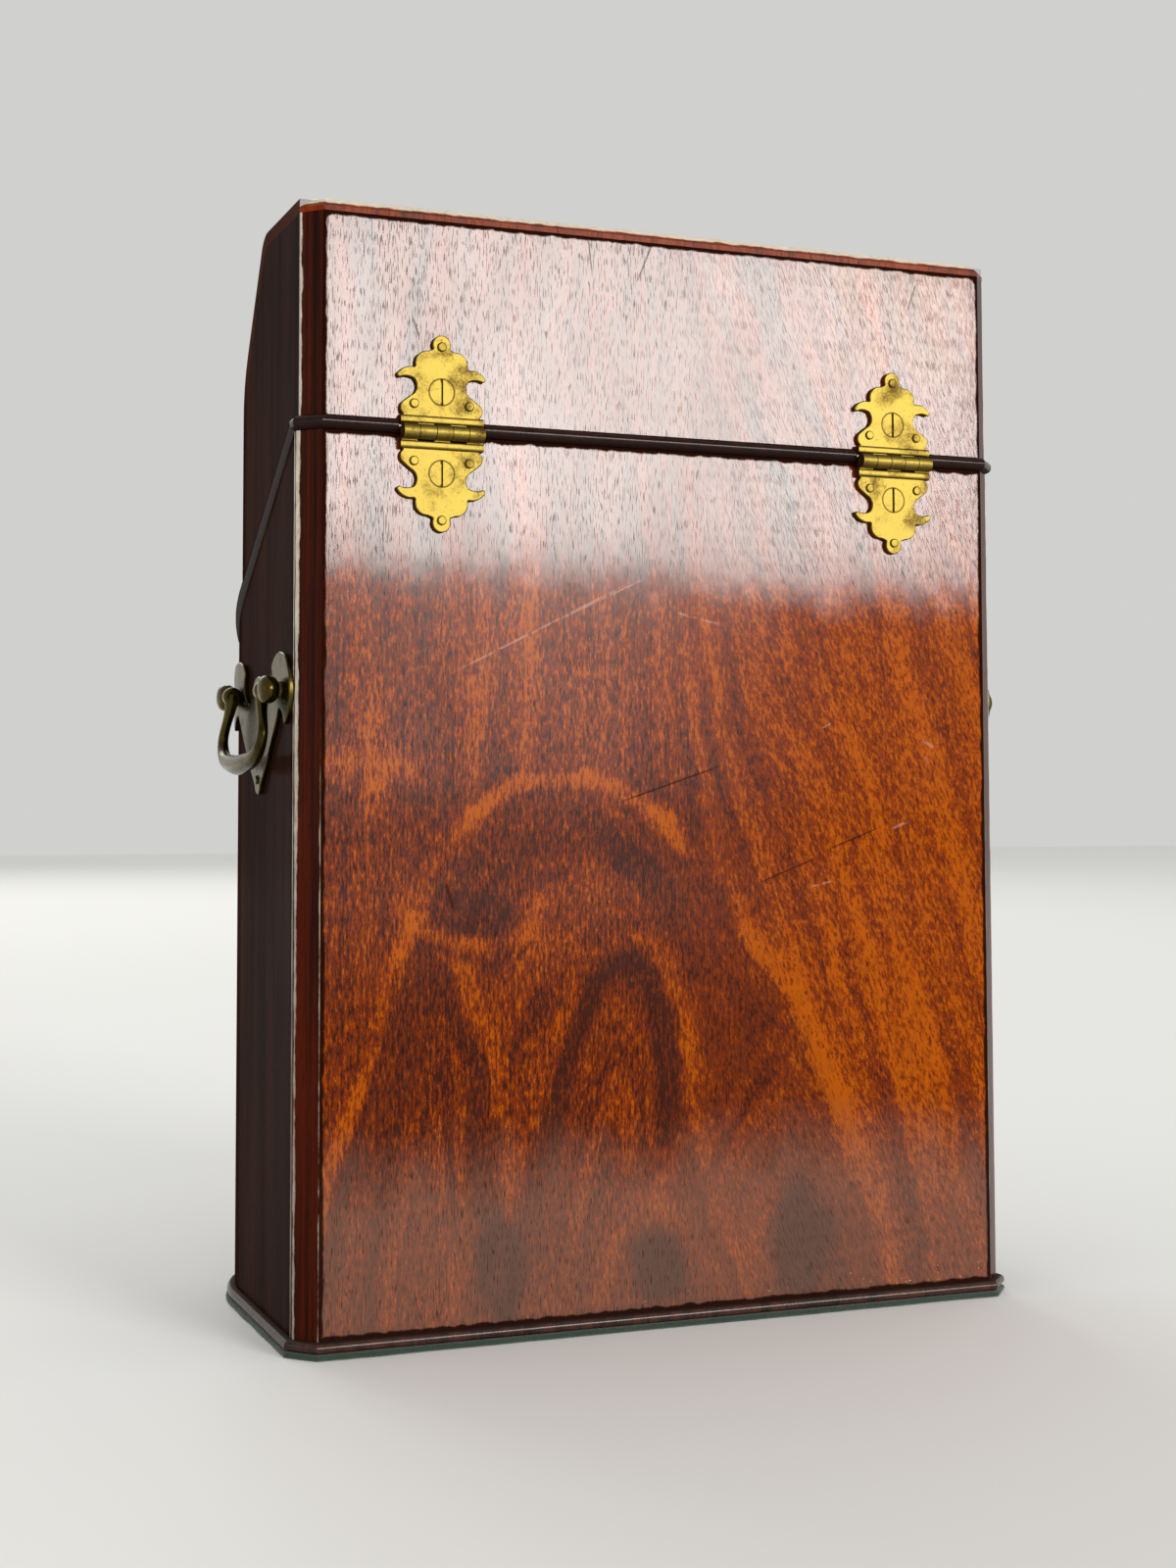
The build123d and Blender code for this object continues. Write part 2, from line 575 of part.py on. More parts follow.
def bead_run(path):
    """Half-round bead along a path on the lid's outside."""
    section = Plane(origin=path @ 0, z_dir=path % 0) * Rot(0, 0, SEAM_TURN) * Circle(BEAD / 2)
    return sweep(section, path, transition=Transition.RIGHT) - lid_block


half, back = WIDTH / 2 - LID_SETBACK, BACK_Y
leg = CANT - LID_SETBACK * (2 - sqrt(2))
right_end = [(half - leg, back), (half, back - leg), (half, CORNER_Y)]
left_end = [(-x, y) for x, y in reversed(right_end)]
behind_knee = behind(KNEE_Y, JOINT_Z, JOINT_SLOPE / 2)
bead_back = bead_run(Pos(0, 0, JOINT_Z + BEAD / 2) * Polyline(*left_end, *right_end)) & behind_knee
for x in HINGE_X.values():
    bead_back -= zone(x - LEDGE_HALF - BEAD_STOP, x + LEDGE_HALF + BEAD_STOP, 0, FAR)
slope_plane = Plane(origin=(0, KNEE_Y, JOINT_Z), x_dir=(1, 0, 0), z_dir=(0, -SLOPE, 1)).offset(BEAD / 2)
rim = (slope_plane * Rectangle(FAR, 2 * FAR)) & lid_block
bead_front = bead_run(Wire([edge for edge in rim.edges() if edge.center().Y < KNEE_Y])) - behind_knee

lid_back, body_back = lid["back"], body["back"]
lid_screws, body_screws, lid_brads, body_brads = [], [], [], []
for name, x in HINGE_X.items():
    at = hinge_frame(x)
    upper = leaf(1, SCREW_UP, PIN_R + RUNNING)
    lower = turned_down(leaf(0, SCREW_DOWN, PIN_R))
    rod = along_x(PIN_R, KNUCKLE_RUN - 2 * PIN_SET, 0, 0, PIN_OUT)
    save(f"hinge_{name}_upper_leaf", at * upper)
    save(f"hinge_{name}_lower_leaf", at * lower)
    save(f"hinge_{name}_pin", at * rod)
    lid_screws.append(at * screw(SCREW_UP))
    body_screws.append(at * screw(-SCREW_DOWN))
    lid_back -= at * Pos(0, SCREW_UP) * screw_blank()
    body_back -= at * Pos(0, -SCREW_DOWN) * screw_blank()
    for bx, bz in BRAD_PLACES:
        lid_brads.append(at * brad(bx, bz))
        body_brads.append(at * brad(bx, -bz))
        lid_back -= at * brad(bx, bz)
        body_back -= at * brad(bx, -bz)
save("lid_hinge_screws", *lid_screws)
save("body_hinge_screws", *body_screws)
save("lid_hinge_brads", *lid_brads)
save("body_hinge_brads", *body_brads)

drilled = body["side_right"] - handle_holes()
fittings = {
    "backplate": [backplate()],
    "posts": [SIDE * post(side) for side in (-1, 1)],
    "bail": [SIDE * bail()],
    "nuts": [SIDE * nut(side) for side in (-1, 1)],
    "brad": [SIDE * brad(0, PLATE_BRAD, PLATE)],
}
for piece, solids in fittings.items():
    save(f"handle_right_{piece}", *solids)
    save(f"handle_left_{piece}", *[mirror_x(solid) for solid in solids])

front = body["front"] - lock_block() - keyhole(EDGE_RING, -FAR, 0)
for x, z in LOCK_SCREWS:
    front -= along_y(LOCK_SCREW_R, LOCK_FRONT_Y - LOCK_BITE, LOCK_FRONT_Y, x, z)
front_skin = slab(plan() - plan(RING_DEEP), 0, HEIGHT) & zone(-LOCK_HALF, LOCK_HALF, -FAR, 0)
ring = (keyhole(EDGE_RING, -FAR, 0) - keyhole(0, -FAR, 0)) & front_skin

lid_front = lid["front"] - link_block()
for x in (-LINK_SCREW_X, LINK_SCREW_X):
    lid_front -= link_screw_blank(x)

save("baize_foot", baize)
save("base_board", base_board)
save("floor_board", floor_board)
save("back_panel", body_back)
save("front_panel", front)
save("side_panel_right", drilled)
save("side_panel_left", mirror_x(drilled))
save("corner_strip_right", body["corner_right"])
save("corner_strip_left", body["corner_left"])
for name, y in DIVIDER_Y.items():
    save(f"divider_{name}", divider(y))
for name, strips in runner_set.items():
    save(f"divider_runners_{name}", *strips)
save("lid_back_panel", lid_back)
save("lid_front_panel", lid_front)
save("lid_side_right", lid["side_right"])
save("lid_side_left", lid["side_left"])
save("lid_corner_strip_right", lid["corner_right"])
save("lid_corner_strip_left", lid["corner_left"])
save("lid_top_board", lid_top)
save("lid_edge_strip", lid_edge)
save("lid_slope_board", lid_slope)
save("lid_bead_back", *bead_back.solids())
save("lid_bead_front", bead_front)
save("lock_case", lock_case())
save("lock_bolt", lock_bolt())
save("lock_screws", *[lock_screw(x, z) for x, z in LOCK_SCREWS])
save("keyhole_escutcheon", ring)
save("lid_link_plate", link_plate())
save("link_plate_screws", *[link_screw_blank(x) for x in (-LINK_SCREW_X, LINK_SCREW_X)])
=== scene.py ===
from math import atan2, cos, hypot, pi, radians, sin

import bmesh
import bpy
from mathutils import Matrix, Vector, noise


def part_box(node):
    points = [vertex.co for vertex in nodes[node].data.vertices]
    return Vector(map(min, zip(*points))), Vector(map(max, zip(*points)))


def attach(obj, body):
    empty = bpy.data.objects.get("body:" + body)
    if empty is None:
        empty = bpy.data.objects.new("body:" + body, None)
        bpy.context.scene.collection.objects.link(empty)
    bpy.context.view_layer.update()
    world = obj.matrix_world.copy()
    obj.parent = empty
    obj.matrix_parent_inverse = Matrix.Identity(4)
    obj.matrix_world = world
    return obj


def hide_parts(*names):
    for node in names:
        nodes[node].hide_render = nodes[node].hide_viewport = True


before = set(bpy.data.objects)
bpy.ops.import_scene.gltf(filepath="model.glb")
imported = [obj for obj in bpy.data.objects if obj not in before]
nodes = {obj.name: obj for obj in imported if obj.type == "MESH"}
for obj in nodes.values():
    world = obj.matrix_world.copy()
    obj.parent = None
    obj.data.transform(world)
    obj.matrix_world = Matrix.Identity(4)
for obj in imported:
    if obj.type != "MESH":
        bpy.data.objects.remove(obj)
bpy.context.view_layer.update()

MM = 0.001


def srgb(red, green, blue):
    """Linear colour from screen values of 0 to 255."""
    def linear(v):
        return v / 255 / 12.92 if v <= 10 else ((v / 255 + 0.055) / 1.055) ** 2.4
    return (linear(red), linear(green), linear(blue), 1.0)


# ---------------------------------------------------------------- shader graphs
class Graph:
    """A material under construction; its methods add nodes and return their output sockets."""

    def __init__(self, name):
        self.material = bpy.data.materials.new(name)
        self.material.use_nodes = True
        self.tree = self.material.node_tree
        self.shader = self.tree.nodes["Principled BSDF"]
        metres = self.add("ShaderNodeTexCoord").outputs["Object"]
        self.position = self.stretched(1 / MM, 1 / MM, 1 / MM, metres)

    def add(self, kind, **settings):
        node = self.tree.nodes.new(kind)
        for key, value in settings.items():
            setattr(node, key, value)
        return node

    def put(self, socket, value):
        if hasattr(value, "is_output"):
            self.tree.links.new(value, socket)
        else:
            socket.default_value = value

    def set(self, **inputs):
        for key, value in inputs.items():
            self.put(self.shader.inputs[key.replace("_", " ")], value)

    def math(self, operation, a, b=0.0, c=0.0, clamp=False):
        node = self.add("ShaderNodeMath", operation=operation, use_clamp=clamp)
        for socket, value in zip(node.inputs, (a, b, c)):
            self.put(socket, value)
        return node.outputs[0]

    def times(self, a, b):
        return self.math("MULTIPLY", a, b)

    def plus(self, a, b):
        return self.math("ADD", a, b)

    def minus(self, a, b):
        return self.math("SUBTRACT", a, b)

    def scaled(self, value, factor, offset, clamp=False):
        """The value times a factor, plus an offset; either of these can vary too."""
        return self.math("MULTIPLY_ADD", value, factor, offset, clamp)

    def size(self, value):
        return self.math("ABSOLUTE", value)

    def away(self, a, b):
        """Distance of a value from another."""
        return self.size(self.minus(a, b))

    def length(self, a, b):
        """Length of a slant with these two legs."""
        return self.math("SQRT", self.plus(self.times(a, a), self.times(b, b)))

    def least(self, a, b):
        return self.math("MINIMUM", a, b)

    def most(self, *values):
        found = values[0]
        for value in values[1:]:
            found = self.math("MAXIMUM", found, value)
        return found

    def parts(self, vector=None):
        node = self.add("ShaderNodeSeparateXYZ")
        self.put(node.inputs[0], vector or self.position)
        return node.outputs

    def joined(self, x, y, z):
        node = self.add("ShaderNodeCombineXYZ")
        for socket, value in zip(node.inputs, (x, y, z)):
            self.put(socket, value)
        return node.outputs[0]

    def stretched(self, x, y, z, vector=None):
        node = self.add("ShaderNodeVectorMath", operation="MULTIPLY")
        self.put(node.inputs[0], vector or self.position)
        node.inputs[1].default_value = (x, y, z)
        return node.outputs[0]

    def noise(self, vector, detail, rough):
        node = self.add("ShaderNodeTexNoise")
        self.put(node.inputs["Vector"], vector)
        for key, value in (("Scale", 1.0), ("Detail", detail), ("Roughness", rough)):
            node.inputs[key].default_value = value
        return node.outputs["Fac"]

    def spots(self, across, along, detail=4.0, rough=0.55, vector=None):
        """Noise whose features are about so many millimetres across and along the grain."""
        return self.noise(self.stretched(1 / across, 1 / across, 1 / along, vector), detail, rough)

    def ramp(self, value, *stops):
        node = self.add("ShaderNodeValToRGB")
        self.put(node.inputs[0], value)
        points = node.color_ramp.elements
        while len(points) < len(stops):
            points.new(0.5)
        for point, (place, colour) in zip(points, stops):
            point.position = place
            point.color = colour
        return node.outputs["Color"]

    def step(self, value, low, high):
        """Smooth change from 0 to 1 as the value goes from low to high; low may be the higher number."""
        node = self.add("ShaderNodeMapRange", interpolation_type="SMOOTHSTEP")
        self.put(node.inputs["Value"], value)
        node.inputs["From Min"].default_value = low
        node.inputs["From Max"].default_value = high
        return node.outputs["Result"]

    def mix(self, factor, a, b):
        node = self.add("ShaderNodeMix", data_type="RGBA")
        self.put(node.inputs[0], factor)
        for socket, value in zip([s for s in node.inputs if s.type == "RGBA"], (a, b)):
            self.put(socket, value)
        return [s for s in node.outputs if s.type == "RGBA"][0]

    def bump(self, height, strength, distance, normal=None):
        node = self.add("ShaderNodeBump")
        self.put(node.inputs["Height"], height)
        node.inputs["Strength"].default_value = strength
        node.inputs["Distance"].default_value = distance * MM
        if normal is not None:
            self.put(node.inputs["Normal"], normal)
        return node.outputs["Normal"]


def finish(graph, *names):
    """Give CAD nodes the finished material."""
    for name in names:
        slots = nodes[name].data.materials
        slots.clear()
        slots.append(graph.material)


# ---------------------------------------------------------------- landmarks, in millimetres
X, Y, Z = 0, 1, 2
LOW, HIGH = 0, 1


def reach(name, which, axis):
    """Where a node starts (LOW) or ends (HIGH) along an axis, read from the frame."""
    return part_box(name)[which][axis] / MM


BACK_Y = reach("back_panel", HIGH, Y)
FLAT_X = reach("back_panel", HIGH, X)
CANT_Y = reach("corner_strip_right", LOW, Y)
LID_CANT_Y = reach("lid_corner_strip_right", LOW, Y)
BODY_Z = reach("back_panel", LOW, Z)
RIM_Z = reach("back_panel", HIGH, Z)
JOINT_Z = reach("lid_back_panel", LOW, Z)
PANEL_Z = reach("lid_back_panel", HIGH, Z)
TOP_Z = reach("lid_top_board", HIGH, Z)
FELT_Z = reach("baize_foot", HIGH, Z)


# ---------------------------------------------------------------- wood
DIRT_AND_SHADE = srgb(28, 11, 6)              # pores, dirt, dark lines and painted shade
DARK = srgb(58, 22, 11)
PLUM = srgb(60, 27, 19)
RED = srgb(98, 37, 10)
RUST = srgb(120, 44, 3)
AMBER = srgb(166, 78, 2)
PAINTED_FOOT_HAZE = srgb(140, 106, 92)          # painted reflection: a pale haze in the polish near the foot
PALE_WEAR_AND_HIGHLIGHT = srgb(214, 204, 184)          # pale arrises: wood rubbed clear of polish, and painted highlight
BLOT = srgb(90, 70, 62)             # dark ovals of the figure
SCRATCHED = srgb(214, 160, 138)     # pale scratch in the polish
FLECK = srgb(210, 170, 120)         # pale specks near the foot

PORE = (0.34, 4.2)          # width and length of the dashes, in millimetres
PORE_LEVEL = 0.645          # level of the noise above which a dash shows
PORE_DEPTH = 0.10           # in millimetres, as is the ripple's
RIPPLE_DEPTH = 1.0
POLISH_TINT = (1.0, 0.97, 0.94, 1.0)


def pores(g, vector=None, extra=0.0):
    """Open pores of mahogany, dark dashes along the grain in loose bunches; 1 is a pore."""
    dashes = g.spots(*PORE, 1.0, 0.5, vector)
    bunch = g.spots(11, 60, 3, 0.5, vector)
    level = g.scaled(bunch, -0.12, PORE_LEVEL - extra)
    return g.step(g.minus(dashes, level), 0.0, 0.08)


def uneven(g):
    """Smears of the polish, and its faint ripple."""
    return g.spots(26, 60, 5, 0.62), g.spots(24, 40, 3, 0.5)


def polish(g, colour, pore, gloss, level, matt=0.0):
    """French polish: shallow pores left open, a faint ripple, and smears that dull it in places."""
    smear, ripple = uneven(g)
    fine = g.spots(2.2, 5, 3, 0.6)
    rough = g.scaled(pore, 0.05, g.scaled(smear, 0.10, gloss - 0.05))
    soft = g.bump(g.plus(ripple, g.times(fine, 0.03)), 0.10, RIPPLE_DEPTH)
    g.set(Base_Color=colour, Roughness=g.most(rough, g.times(matt, 0.95)))
    g.set(Normal=g.bump(g.minus(1.0, pore), 0.14, PORE_DEPTH, soft))
    g.set(Specular_IOR_Level=level, Specular_Tint=POLISH_TINT)


def lacquer(g, colour, pore, gloss, shine):
    """The show side's thicker French polish: a clear coat that is worn thinner where shine is low."""
    smear, ripple = uneven(g)
    streaks = g.spots(1.6, 7, 2, 0.5)
    soft = g.bump(g.scaled(streaks, 0.20, ripple), 0.10, RIPPLE_DEPTH)
    grain = g.bump(g.minus(1.0, pore), 0.08, PORE_DEPTH, soft)
    shine = g.times(shine, g.scaled(smear, 0.41, 0.54))
    g.set(Base_Color=colour, Roughness=0.6, Specular_IOR_Level=0.0, Normal=grain)
    coat = g.times(shine, g.scaled(pore, -0.6, 1.0))
    g.set(Coat_Weight=coat, Coat_Roughness=gloss, Coat_Normal=grain)


# ---------------------------------------------------------------- shapes drawn on the back, in millimetres
# u runs to the left of the box, which is to the right in the view of its back, and z runs up.
def tongue(g, u, z, mid, top, open_, lean):
    """Distance above a rounded arch whose legs open downwards, the right one more where lean is
    below 1; it is negative inside."""
    across = g.minus(u, mid)
    across = g.least(across, g.times(across, lean))
    slope = g.times(across, 2 / open_)
    rise = g.scaled(g.times(across, across), 1 / open_, g.minus(z, top))
    return g.math("DIVIDE", rise, g.math("SQRT", g.scaled(slope, slope, 1.0)))


def oval(g, u, z, mid, height, wide, tall):
    """Distance outside an upright or lying oval, in shares of its size."""
    across = g.times(g.minus(u, mid), 1 / wide)
    up = g.times(g.minus(z, height), 1 / tall)
    return g.minus(g.length(across, up), 1.0)


def scratch(g, u, z, start, end, wide):
    """A line from one point to another that fades at its ends; 1 is scratched."""
    run = Vector(end) - Vector(start)
    way = run.normalized()
    du, dz = g.minus(u, start[0]), g.minus(z, start[1])
    along = g.plus(g.times(du, way.x), g.times(dz, way.y))
    off = g.size(g.minus(g.times(dz, way.x), g.times(du, way.y)))
    ends = g.times(g.step(along, 0.0, 0.2 * run.length), g.step(along, run.length, 0.8 * run.length))
    return g.times(g.step(off, wide, 0.2 * wide), ends)


def frame_line(g, x, z, low, high, round_, wobble):
    """Distance inside the edge of a panel with rounded corners, made uneven."""
    over_x = g.minus(g.size(x), FLAT_X - round_)
    over_z = g.minus(g.away(z, (low + high) / 2), (high - low) / 2 - round_)
    outer = g.length(g.most(over_x, 0.0), g.most(over_z, 0.0))
    inner = g.least(g.most(over_x, over_z), 0.0)
    inside = g.minus(round_, g.plus(outer, inner))
    return g.scaled(g.minus(wobble, 0.5), 2.2, inside)


# Arches: middle, top, opening and lean, and how bright the rim is and how dark the inside.
TONGUES = (
    (-44, 172, 40, 0.66, 1.0, 0.45),
    (-80, 113, 9, 1.0, 0.5, 0.3),
    (-18, 119, 15, 1.0, 0.5, 0.5),
    (34, 92, 24, 1.0, 0.3, 0.2),
    (-57, 38, 9, 1.0, 0.25, 0.3),
    (-5, 42, 10, 1.0, 0.25, 0.3),
    (45, 42, 11, 1.0, 0.25, 0.3),
)
# Ovals, and one ring: middle u and z, half width and half height.
OVALS = ((-57, 24, 10, 20), (-4, 22, 10, 14), (45, 24, 11, 20))
RING = (-68, 133, 20, 11)
# Scratches: start, end and half width.
LIGHT_SCRATCHES = (
    ((-76, 204), (-14, 235), 0.55), ((-50, 217), (-8, 237), 0.35),
    ((0, 226), (19, 222), 0.6), ((92, 186), (97, 183), 0.8),
    ((93, 180), (95, 178), 1.0), ((80, 156), (87, 158.5), 0.7),
    ((48, 137), (58, 139), 0.5), ((54, 189), (58, 191), 0.4),
)
DARK_SCRATCHES = (
    ((-21, 164), (20, 177.5), 0.5), ((30, 138.5), (53, 147), 0.4),
    ((54, 148.5), (77, 157), 0.4), ((-74, 131), (-77, 141), 0.9),
    ((-88, 315), (-85.5, 308), 0.6), ((-29, 346), (-27.5, 333), 0.4),
    ((-6, 346), (-12, 332), 0.4), ((88, 330), (92, 341), 0.35),
)
CURLY_U = (-20, 45)         # where the upright grain gives way to the curly grain
CALM_Z = (226, 246)         # where the figure gets calm and darker, beside the hinges
PAINTED_FOOT_HAZE_Z = (84, 50)          # where the painted reflection near the foot begins, and where it is full
GRAIN_LEAN = -0.36          # sideways slant of the curly grain
SHINY_U, SHINY_Z = (70, -30), (90, 165)     # the coat thickens to the left in the view, and upwards
SHINY_TOP_Z = (228, 252)                    # and here it is thick all the way across


def drifted(g, u, z, waver):
    """The place shifted by coarse and fine noise, so that nothing drawn there is regular."""
    sway = g.spots(75, 95, 3, 0.5)
    fray = g.spots(1.6, 7, 3, 0.6)
    drift = g.plus(g.scaled(sway, 30.0, -15.0), g.scaled(waver, 11.0, -5.5))
    drift = g.plus(drift, g.scaled(fray, 5.0, -2.5))
    return g.plus(u, g.times(drift, 0.8)), g.plus(z, drift)


def crotch(g, u, z):
    """Nested arches on the left and ribbons fanning to the right; how light the wood is, and how far
    it is shaded by the arches."""
    fan = g.plus(u, g.times(z, g.times(g.step(u, -45, 20), 0.30)))
    figure = g.noise(g.joined(g.times(fan, 1 / 9), 0.0, g.times(z, 1 / 150)), 5, 0.62)
    rims, darks = [], []
    for mid, top, open_, lean, rim, dark in TONGUES:
        away = tongue(g, u, z, mid, top, open_, lean)
        inside = g.step(away, 1.5, -2.5)
        own = g.noise(g.joined(g.times(away, 1 / 16), mid / 9, g.times(u, 1 / 45)), 4, 0.6)
        figure = g.scaled(g.minus(own, figure), g.step(away, 14, -2), figure)
        fade = g.step(away, -3.2 * open_ ** 0.5 - 18, -4)
        rims.append(g.times(g.step(g.away(away, 1.5), 5.5, 0.5), rim))
        darks.append(g.times(g.times(inside, fade), dark))
    ring = oval(g, u, z, *RING)
    rims.append(g.times(g.step(g.away(ring, 0.1), 0.50, 0.0), g.step(z, 148, 124)))
    darks.append(g.times(g.step(ring, 0.1, -0.35), 0.7))
    lying = g.times(g.step(g.away(z, 174), 6.5, 1.5), g.step(u, -78, -92))
    upright = g.times(g.step(g.away(u, -102), 7, 1), g.step(g.away(z, 176), 24, 8))
    rims += [g.times(lying, 0.9), g.times(upright, 0.8)]
    patch = g.step(g.spots(22, 30, 3, 0.6), 0.34, 0.62)
    rim = g.times(g.most(*rims), g.scaled(patch, 0.75, 0.25))
    warm = g.times(g.step(u, -8, 75), g.step(z, 10, 90))
    shade = g.most(*darks)
    value = g.scaled(g.minus(figure, 0.5), 1.45, 0.40)
    value = g.scaled(warm, 0.26, value)
    value = g.scaled(rim, g.scaled(g.step(u, 40, -5), 0.22, 0.32), value)
    value = g.scaled(shade, -0.20, value)
    value = g.scaled(g.times(g.step(z, 160, 205), g.step(u, 60, -10)), 0.16, value)
    return value, shade


def flame(name, low, high, round_):
    """Crotch-figured veneer of a back panel that reaches from low to high with corners round_ in radius:
    upright grain on the left, curly on the right, with the pores, marks and worn polish of its age,
    and a painted reflection near the foot."""
    g = Graph(name)
    x, y, z = g.parts()
    u = g.times(x, -1.0)
    waver = g.spots(15, 26, 4, 0.6)
    far_u, far_z = drifted(g, u, z, waver)
    value, shade = crotch(g, far_u, far_z)

    slant = g.joined(g.plus(x, g.times(z, GRAIN_LEAN)), y, z)
    hair = g.scaled(g.spots(1.0, 4.0, 3, 0.8), 2.80, -1.40)
    threads = g.scaled(g.spots(1.4, 30, 3, 0.6), 0.60, -0.30)
    curl = g.scaled(g.spots(0.95, 2.2, 3, 0.75, slant), 1.90, -0.95)
    right = g.step(far_u, *CURLY_U)
    upper = g.step(z, *CALM_Z)
    grain = g.plus(g.times(hair, g.scaled(right, -0.65, 1.0)), g.times(curl, right))
    grain = g.plus(grain, g.times(threads, g.minus(1.0, right)))
    value = g.plus(value, g.times(grain, g.scaled(upper, -0.75, 1.0)))
    value = g.scaled(upper, -0.20, value)
    colour = g.ramp(value, (0.12, DARK), (0.36, RED), (0.58, RUST), (0.86, AMBER))
    cool = g.times(shade, g.step(far_z, 200, 60))
    colour = g.mix(g.times(cool, 0.5), colour, PLUM)
    # Painted reflection: a pale haze low on the panel, near the foot.
    haze = g.step(g.scaled(waver, 26, z), *PAINTED_FOOT_HAZE_Z)
    colour = g.mix(g.times(haze, 0.42), colour, PAINTED_FOOT_HAZE)
    blots = g.most(*[g.step(oval(g, far_u, far_z, *blot), 0.30, -0.35) for blot in OVALS])
    colour = g.mix(g.times(blots, 0.80), colour, BLOT)

    pore = g.most(g.times(pores(g), g.scaled(right, -0.55, 1.0)),
                  g.times(pores(g, slant, 0.01), g.times(right, 0.8)))
    colour = g.mix(g.times(pore, 0.60), colour, DIRT_AND_SHADE)
    light = g.most(*[scratch(g, u, z, *line) for line in LIGHT_SCRATCHES])
    dark = g.most(*[scratch(g, u, z, *line) for line in DARK_SCRATCHES])
    broken = g.step(g.spots(2.5, 2.5, 3, 0.6), 0.36, 0.55)
    colour = g.mix(g.times(g.times(light, broken), 0.30), colour, SCRATCHED)
    colour = g.mix(g.times(dark, 0.7), colour, DIRT_AND_SHADE)
    flecks = g.step(g.spots(1.1, 1.1, 1, 0.5), 0.70, 0.75)
    low_right = g.times(g.step(u, -70, 110), g.step(z, BODY_Z + 9, BODY_Z + 2))
    colour = g.mix(g.times(flecks, low_right), colour, FLECK)
    # A dark line round the panel's edge: dark joints, and painted shade under the lid's bead.
    inside = frame_line(g, x, z, low, high, round_, g.spots(4, 9, 3, 0.6))
    line = g.step(inside, 1.7, 1.0)
    colour = g.mix(g.times(line, 0.95), colour, DIRT_AND_SHADE)

    shine = g.scaled(g.times(g.step(u, *SHINY_U), g.step(z, *SHINY_Z)), 0.52, 0.15)
    shine = g.most(shine, g.step(g.scaled(waver, 20, z), *SHINY_TOP_Z))
    dull = g.most(line, g.times(dark, 0.6))
    lacquer(g, colour, pore, 0.11, g.times(shine, g.minus(1.0, dull)))
    return g


def straight(name, light, dark, gloss, level, figure=10.0, pale_edges=None, shadow=None, quiet=False, over=False):
    """Plain straight-grained polished wood: pale_edges is where it is painted pale, as wear and a painted
    highlight along arrises, shadow where it is painted dark and its polish dull, as painted shade and
    darker bands, quiet lowers the gloss at a slant, and over lays the grain up the front and on over the top."""
    g = Graph(name)
    if over:
        x, y, z = g.parts()
        g.position = g.joined(x, 0.0, g.plus(y, z))
    big = g.spots(figure, 160, 4, 0.6)
    fine = g.spots(0.9, 40, 3, 0.6)
    cloud = g.spots(45, 70, 3, 0.5)
    blend = g.step(g.scaled(fine, 0.45, g.scaled(cloud, 0.35, big)), 0.62, 1.15)
    colour = g.mix(blend, dark, light)
    pore = pores(g)
    colour = g.mix(g.times(pore, 0.55), colour, DIRT_AND_SHADE)
    # Pale along the arrises: wear, and a painted highlight.
    if pale_edges:
        colour = g.mix(pale_edges(g), colour, PALE_WEAR_AND_HIGHLIGHT)
    # Painted shade and darker bands, with duller polish there.
    dull = shadow(g) if shadow else 0.0
    if shadow:
        colour = g.mix(dull, colour, DIRT_AND_SHADE)
    polish(g, colour, pore, gloss, level, matt=dull)
    if quiet:
        facing = g.add("ShaderNodeLayerWeight").outputs["Facing"]
        g.set(Coat_Weight=g.step(facing, 0.85, 0.25), Coat_Roughness=gloss, Coat_IOR=1.45)
    return g


def rubbed(g, x_line, y_line, wide):
    """Uneven pale line along an upright arris."""
    x, y, _ = g.parts()
    off = g.length(g.away(g.size(x), x_line), g.away(y, y_line))
    off = g.scaled(g.spots(3, 10, 4, 0.6), 1.5, off)
    return g.step(off, wide + 0.75, wide + 0.35)


def strip_wear_and_highlight(g):
    """The canted corners are painted pale along both arrises, most on the outer one and low down on the
    inner: wear, with a painted highlight on the outer one that is wider and brighter high up.
    """
    _, y, z = g.parts()
    off = g.least(g.away(y, CANT_Y + 0.4), g.away(y, LID_CANT_Y + 0.4))
    off = g.scaled(g.spots(2.5, 9, 4, 0.6), 1.4, off)
    broken = g.scaled(g.spots(1.2, 4, 3, 0.7), 1.2, 0.25, clamp=True)
    upper = g.step(z, 60, 280)
    off = g.scaled(upper, -0.35, off)
    outer = g.times(g.times(g.step(off, 1.10, 0.72), broken), g.scaled(upper, 0.45, 0.50))
    inner = g.times(rubbed(g, FLAT_X + 0.1, BACK_Y, 0.30), g.step(z, 200, 130))
    return g.most(outer, g.times(inner, 0.65))


def crest_highlight_and_wear(g):
    """The top rear edge of the lid is painted pale from its arris upwards: a painted highlight, with wear."""
    height = g.scaled(g.spots(5, 5, 4, 0.6), 1.8, g.parts()[Z])
    patchy = g.scaled(g.spots(2, 2, 4, 0.7), 0.8, 0.45)
    return g.times(g.step(height, TOP_Z - 1.2, TOP_Z - 0.6), patchy)


def bead_underside_shade(g):
    """Painted shade: the lower half of the lid's bead and its edges against the lid are painted dark."""
    height = g.scaled(g.spots(3, 3, 3, 0.6), 0.8, g.parts()[Z])
    return g.times(g.step(height, JOINT_Z + 1.9, JOINT_Z + 1.0), 0.9)


def base_shade_lines(g):
    """Painted shade: a dark line where the body stands on the base, and under its round edge."""
    off = g.away(g.parts()[Z], (FELT_Z + BODY_Z) / 2)
    return g.times(g.step(off, 1.15, 1.65), 0.9)


def side_edge(g):
    """The rear edge of each side is darker, beside the pale arris."""
    back = g.scaled(g.spots(3, 20, 3, 0.6), 1.5, g.parts()[Y])
    return g.times(g.step(back, CANT_Y - 2.6, CANT_Y - 1.4), 0.75)


